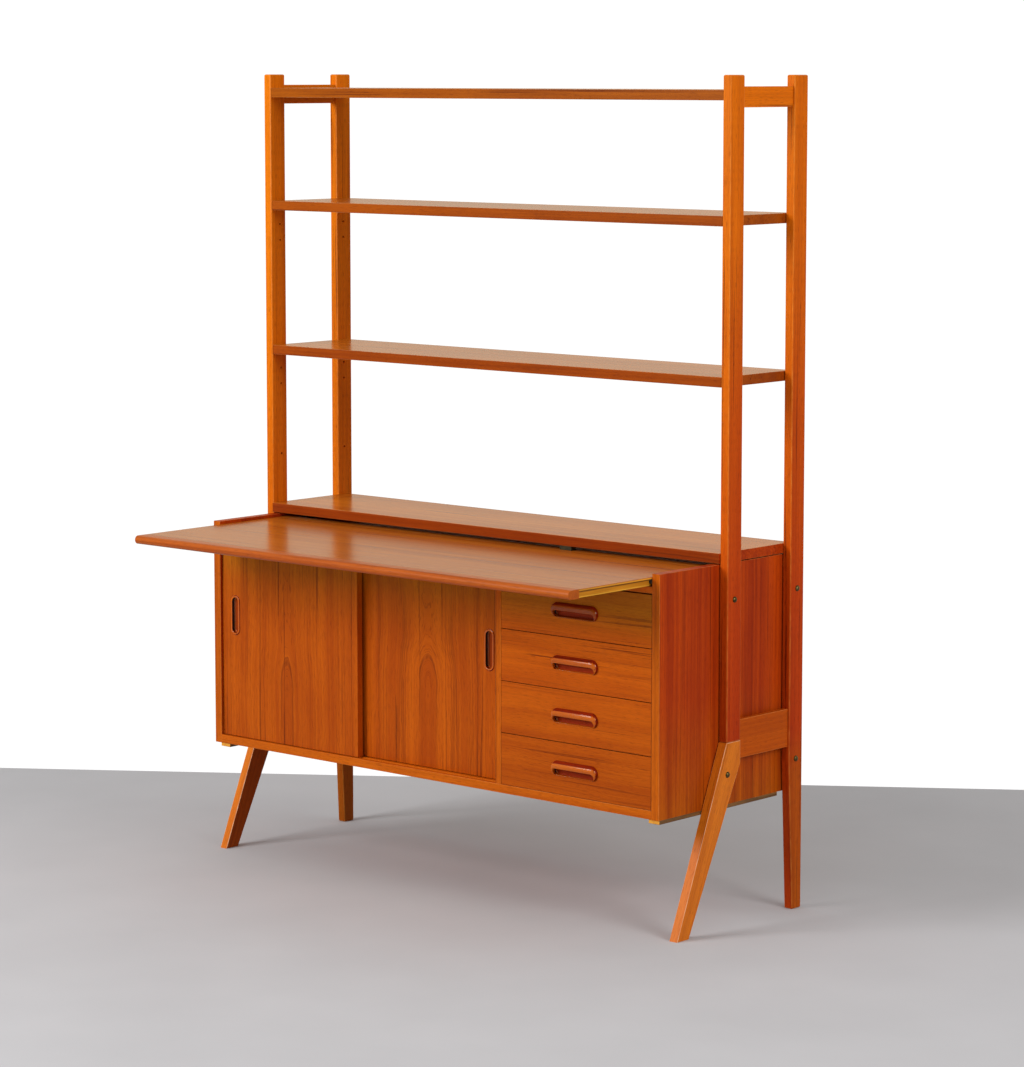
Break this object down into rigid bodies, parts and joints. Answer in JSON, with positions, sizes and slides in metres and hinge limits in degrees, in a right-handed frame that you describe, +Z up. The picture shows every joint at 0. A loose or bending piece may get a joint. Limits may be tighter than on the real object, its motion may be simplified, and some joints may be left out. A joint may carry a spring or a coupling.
{
  "type": "bookcase with adjustable shelves",
  "caption": "Teak bookcase on post frames: adjustable shelves over a cabinet with pull-out desk board, sliding doors and drawers.",
  "frame": {"origin": "on the floor, under the middle of the overall box with the desk board pulled out", "axes": "+X to the right seen from the front, +Y to the wall, +Z up"},
  "size_m": [1.268, 0.6654, 1.65],
  "materials": {
    "teak": "oiled teak veneer and solid edges, satin",
    "red_teak": "redder teak, satin",
    "pull_teak": "dark solid teak, polished",
    "pale_wood": "raw birch and plywood",
    "bronze": "darkened brass",
    "steel": "plain steel",
    "olive_pad": "olive fibre pad",
    "black_runner": "black fibre strip"
  },
  "bodies": {
    "frame": {"left_front_post": "teak", "right_front_post": "teak", "left_rear_post": "teak", "right_rear_post": "teak", "left_front_leg": "teak", "right_front_leg": "teak", "left_upper_rail": "teak", "right_upper_rail": "teak", "left_lower_rail": "teak", "right_lower_rail": "teak", "top_shelf": "teak", "fixed_top": "teak", "left_end_panel": "red_teak", "right_end_panel": "red_teak", "bottom_panel": "teak", "sub_top": "teak", "partition": "teak", "cabinet_back": "pale_wood", "left_batten": "pale_wood", "right_batten": "pale_wood", "frame_bolts": "bronze", "threaded_inserts": "steel", "spacer_washers": "steel", "shelf_pins": "bronze", "shelf_dowels": "pale_wood", "desk_runners": "black_runner", "desk_guide_pad": "olive_pad", "drawer_runners": "pale_wood"},
    "desk": {"desk_board": "teak", "desk_lipping": "red_teak", "desk_left_strip": "pale_wood", "desk_right_strip": "pale_wood"},
    "left_door": {"left_door": "teak", "left_door_pull": "pull_teak"},
    "right_door": {"right_door": "teak", "right_door_pull": "pull_teak"},
    "upper_shelf": {"upper_shelf": "teak"},
    "lower_shelf": {"lower_shelf": "teak"},
    "drawer_1": {"drawer_1_front": "teak", "drawer_1_sides": "pale_wood", "drawer_1_back": "pale_wood", "drawer_1_bottom": "pale_wood", "drawer_1_pull": "pull_teak"},
    "drawer_2": {"drawer_2_front": "teak", "drawer_2_sides": "pale_wood", "drawer_2_back": "pale_wood", "drawer_2_bottom": "pale_wood", "drawer_2_pull": "pull_teak"},
    "drawer_3": {"drawer_3_front": "teak", "drawer_3_sides": "pale_wood", "drawer_3_back": "pale_wood", "drawer_3_bottom": "pale_wood", "drawer_3_pull": "pull_teak"},
    "drawer_4": {"drawer_4_front": "teak", "drawer_4_sides": "pale_wood", "drawer_4_back": "pale_wood", "drawer_4_bottom": "pale_wood", "drawer_4_pull": "pull_teak"}
  },
  "joints": [
    {"name": "desk_slide", "type": "slide", "parent": "frame", "child": "desk", "axis": [0, 1, 0], "range_m": [0, 0.211]},
    {"name": "left_door_slide", "type": "slide", "parent": "frame", "child": "left_door", "axis": [1, 0, 0], "range_m": [0, 0.383]},
    {"name": "right_door_slide", "type": "slide", "parent": "frame", "child": "right_door", "axis": [-1, 0, 0], "range_m": [0, 0.383]},
    {"name": "upper_shelf_lift", "type": "slide", "parent": "frame", "child": "upper_shelf", "axis": [0, 0, 1], "range_m": [0, 0.215]},
    {"name": "lower_shelf_lift", "type": "slide", "parent": "frame", "child": "lower_shelf", "axis": [0, 0, 1], "range_m": [0, 0.284]},
    {"name": "drawer_1_slide", "type": "slide", "parent": "frame", "child": "drawer_1", "axis": [0, -1, 0], "range_m": [0, 0.3]},
    {"name": "drawer_2_slide", "type": "slide", "parent": "frame", "child": "drawer_2", "axis": [0, -1, 0], "range_m": [0, 0.3]},
    {"name": "drawer_3_slide", "type": "slide", "parent": "frame", "child": "drawer_3", "axis": [0, -1, 0], "range_m": [0, 0.3]},
    {"name": "drawer_4_slide", "type": "slide", "parent": "frame", "child": "drawer_4", "axis": [0, -1, 0], "range_m": [0, 0.3]}
  ]
}
